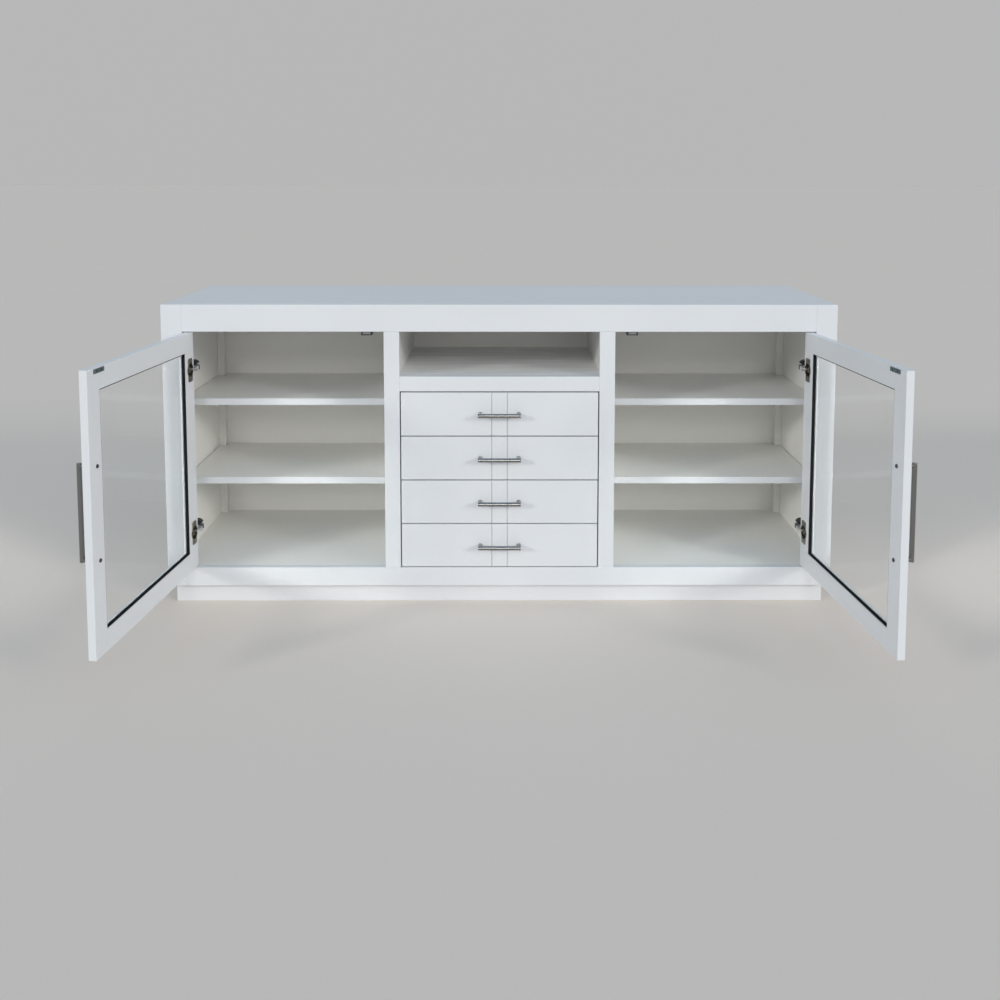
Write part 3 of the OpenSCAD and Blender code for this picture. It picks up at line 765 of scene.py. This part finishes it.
def door_pull(side, to_left, from_left, turn):
    body = f"{side}_door"
    (low, high), = solid_boxes(f"{body}_pull", to_left)
    diameter = high.x - low.x
    length = high.z - low.z
    bm = pull_mesh(length, diameter, high.y - low.y, length - diameter)
    place = from_left @ Matrix.Translation(((low.x + high.x) / 2, high.y, (low.z + high.z) / 2))
    finish_piece(f"{side}_bar_pull", bm, body, [f"{body}_pull"], "brushed_nickel", "Z", turn, place)


def door_screws(side, to_left, from_left, turn):
    body = f"{side}_door"
    node = f"{body}_pull_screws"
    bm = bmesh.new()
    for low, high in solid_boxes(node, to_left):
        centre = Matrix.Translation(((low.x + high.x) / 2, high.y - PULL_SCREW_HEAD, (low.z + high.z) / 2))
        merge(bm, screw_head((high.x - low.x) / 2, PULL_SCREW_HEAD), centre @ UP_TO_BACK)
    finish_piece(f"{side}_pull_screws", bm, body, [node], "black_metal", "Z", turn, from_left)


# The strike plate's screws: in from its ends, radius, height, and how deep they are sunk
STRIKE_SCREW_INSET = 11 * MM
STRIKE_SCREW = (3.1 * MM, 0.7 * MM)
STRIKE_SCREW_SUNK = 0.75 * MM


def strike(side, to_left, from_left, turn):
    """The plate that the catch holds, with countersunk screws in its two recesses."""
    body = f"{side}_door"
    node = f"{body}_strike_plate"
    bm = eased(node, 0.35 * MM, 0.25 * MM, to_left)
    if to_left.determinant() < 0:
        bmesh.ops.recalc_face_normals(bm, faces=bm.faces)
    finish_piece(f"{side}_strike", bm, body, [node], "black_metal", "X", turn, from_left, "blued_steel")
    (low, high), = solid_boxes(node, to_left)
    screws = bmesh.new()
    for x in (low.x + STRIKE_SCREW_INSET, high.x - STRIKE_SCREW_INSET):
        spot = Matrix.Translation((x, high.y - STRIKE_SCREW_SUNK, (low.z + high.z) / 2))
        merge(screws, screw_head(*STRIKE_SCREW), spot @ UP_TO_BACK)
    finish_piece(f"{side}_strike_screws", screws, body, [], "black_metal", "Z", turn, from_left)


def doors():
    """Both doors: their boards, glass, gasket, strike plate, pull and its screws."""
    rows = (
        ("stile_at_hinge", "hinge_stile", "paint", "Z", 1.0, 0.9),
        ("stile_at_pull", "free_stile", "paint", "Z", 1.0, 0.9),
        ("cross_rails", "rails", "paint", "X", 0.9, 0.12),
        ("pane", "glass", "clear_glass", "X", 0.25, 0.25),
        ("seal", "gasket", "black_rubber", "Z", 0.7, 0.7),
    )
    for side in SIDES:
        to_left, from_left, turn = door_places(side)
        body = f"{side}_door"
        for name, node, slot, grain, ease, end_ease in rows:
            bm = eased(f"{body}_{node}", ease * MM, end_ease * MM, to_left)
            if to_left.determinant() < 0:
                bmesh.ops.recalc_face_normals(bm, faces=bm.faces)
            finish_piece(f"{side}_{name}", bm, body, [f"{body}_{node}"], slot, grain, turn, from_left)
        strike(side, to_left, from_left, turn)
        door_pull(side, to_left, from_left, turn)
        door_screws(side, to_left, from_left, turn)


# ---------------------------------------------------------------- drawers

def channel(width, height, lip, gauge):
    """The outline of a slide's C-section, open towards +X."""
    w, h, g = width, height / 2, gauge
    return [(0, -h), (w, -h), (w, -h + lip), (w - g, -h + lip), (w - g, -h + g), (g, -h + g),
            (g, h - g), (w - g, h - g), (w - g, h - lip), (w, h - lip), (w, h), (0, h)]


# A slide's sheet, and its lips: a share of its height, up to a most
SLIDE_GAUGE = 1.2 * MM
SLIDE_LIP_SHARE, SLIDE_LIP_MOST = 0.25, 7 * MM


def slide_profiles(node, open_inwards):
    """C-section slides in the boxes of a CAD node's solids. open_inwards says which way the section opens."""
    bm = bmesh.new()
    for low, high in solid_boxes(node):
        width, height, length = high.x - low.x, high.z - low.z, high.y - low.y
        on_left = low.x < 0
        lip = min(SLIDE_LIP_MOST, SLIDE_LIP_SHARE * height)
        outline = channel(width, height, lip, SLIDE_GAUGE)
        bar = plate(outline, length, ease=0.2 * MM, least=20 * MM)
        opens_right = on_left == open_inwards
        flip = IDENTITY if opens_right else Matrix.Rotation(math.pi, 4, "Z")
        corner = Vector((low.x if opens_right else high.x, high.y, (low.z + high.z) / 2))
        merge(bm, bar, Matrix.Translation(corner) @ UP_TO_FRONT @ flip)
    return bm


def drawers():
    """Every drawer's front, box, runners and pull, and the rails they all run in."""
    for i in DRAWERS:
        body = f"drawer_{i}"
        front = eased(f"{body}_front", 1.0 * MM, 0.7 * MM)
        finish_piece(f"front_{i}", front, body, [f"{body}_front"], "paint", "X")
        box = eased(f"{body}_box", 0.8 * MM, 0.5 * MM)
        finish_piece(f"box_{i}", box, body, [f"{body}_box"], "raw_wood", "Y")
        runners = slide_profiles(f"{body}_slides", False)
        finish_piece(f"runners_{i}", runners, body, [f"{body}_slides"], "zinc_steel", "Y")
        low, high = max(solid_boxes(f"{body}_pull"), key=lambda b: b[1].x - b[0].x)
        length, diameter = high.x - low.x, high.z - low.z
        pull = pull_mesh(length, diameter, high.y - low.y, length - diameter)
        place = Matrix.Translation(((low.x + high.x) / 2, high.y, (low.z + high.z) / 2)) @ UP_TO_RIGHT
        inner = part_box(f"{body}_front")[1].y
        for x in (low.x + diameter / 2, high.x - diameter / 2):
            spot = Matrix.Translation((x, inner, (low.z + high.z) / 2))
            head = screw_head(DRAWER_SCREW_RADIUS, PULL_SCREW_HEAD)
            merge(pull, head, place.inverted() @ spot @ UP_TO_BACK)
        finish_piece(f"bar_pull_{i}", pull, body, [f"{body}_pull"], "brushed_nickel", "X", place=place)
    rails = slide_profiles("drawer_rails", True)
    finish_piece("drawer_rails_in_cabinet", rails, "cabinet", ["drawer_rails"], "zinc_steel", "Y")


# ---------------------------------------------------------------- studio

def floor():
    """A wide plain floor, a hair under the plinth."""
    mesh = bpy.data.meshes.new("studio_floor")
    half = FLOOR_SIZE / 2
    edge = ((-half, -half), (half, -half), (half, half), (-half, half))
    mesh.from_pydata([(x, y, -FLOOR_DROP) for x, y in edge], [], [(0, 1, 2, 3)])
    material, tree, output = new_material("studio_floor")
    cloud = noise(tree, object_place(tree), 1.3, detail=4.0)
    tone = blend_colours(tree, spread(tree, cloud, 0.0, 1.0),
                         shade(FLOOR_COLOUR, 0.995), shade(FLOOR_COLOUR, 1.005))
    shader = add_node(tree, "ShaderNodeBsdfDiffuse", Color=tone)
    tree.links.new(shader.outputs["BSDF"], output.inputs["Surface"])
    mesh.materials.append(material)
    piece = bpy.data.objects.new("studio_floor", mesh)
    bpy.context.scene.collection.objects.link(piece)


def studio_world():
    """An even grey room with a flat backdrop and soft lobes of light added to it."""
    world = bpy.data.worlds.new("studio")
    world.use_nodes = True
    tree = world.node_tree
    tree.nodes.clear()
    direction = add_node(tree, "ShaderNodeTexCoord").outputs["Generated"]
    towards_back = vector_node(tree, "DOT_PRODUCT", direction, (0.0, 1.0, 0.0))
    backdrop = spread(tree, towards_back, 0.0, 1.0, *BACKDROP_EDGE)
    total = vector_node(tree, "ADD", vector_node(tree, "SCALE", BACKDROP, backdrop), ROOM)
    for towards, tightness, colour in LOBES:
        dot = vector_node(tree, "DOT_PRODUCT", direction, tuple(Vector(towards).normalized()))
        falling = math_node(tree, "MULTIPLY", math_node(tree, "SUBTRACT", dot, 1.0), tightness)
        lobe = math_node(tree, "EXPONENT", falling)
        total = vector_node(tree, "ADD", vector_node(tree, "SCALE", colour, lobe), total)
    background = add_node(tree, "ShaderNodeBackground", Color=total)
    output = tree.nodes.new("ShaderNodeOutputWorld")
    tree.links.new(background.outputs["Background"], output.inputs["Surface"])
    bpy.context.scene.world = world


def suns():
    """The soft suns, each turned so that it shines from its azimuth and elevation."""
    for number, (azimuth, elevation, size, strength, colour) in enumerate(SUNS):
        data = bpy.data.lights.new(f"soft_sun_{number}", "SUN")
        data.energy = strength
        data.angle = math.radians(size)
        data.color = colour
        lamp = bpy.data.objects.new(data.name, data)
        a, e = math.radians(azimuth), math.radians(elevation)
        towards = Vector((math.sin(a) * math.cos(e), -math.cos(a) * math.cos(e), math.sin(e)))
        lamp.rotation_mode = "QUATERNION"
        lamp.rotation_quaternion = towards.to_track_quat("Z", "Y")
        bpy.context.scene.collection.objects.link(lamp)


def camera():
    """The camera in front of the cabinet, a little above it, with its lens shifted down."""
    data = bpy.data.cameras.new("camera")
    data.lens = CAMERA_LENS
    data.sensor_width = CAMERA_SENSOR
    data.shift_x, data.shift_y = CAMERA_SHIFT
    data.clip_start, data.clip_end = 0.05, 200.0
    made = bpy.data.objects.new("camera", data)
    made.location = CAMERA_PLACE
    made.rotation_mode = "XYZ"
    made.rotation_euler = (math.radians(90) - CAMERA_PITCH, CAMERA_ROLL, -CAMERA_YAW)
    bpy.context.scene.collection.objects.link(made)
    bpy.context.scene.camera = made


camera()
studio_world()
suns()
floor()
cabinet_boards()
shelf_supports()
catches()
hinges()
doors()
drawers()
bpy.context.scene.view_settings.view_transform = "Standard"
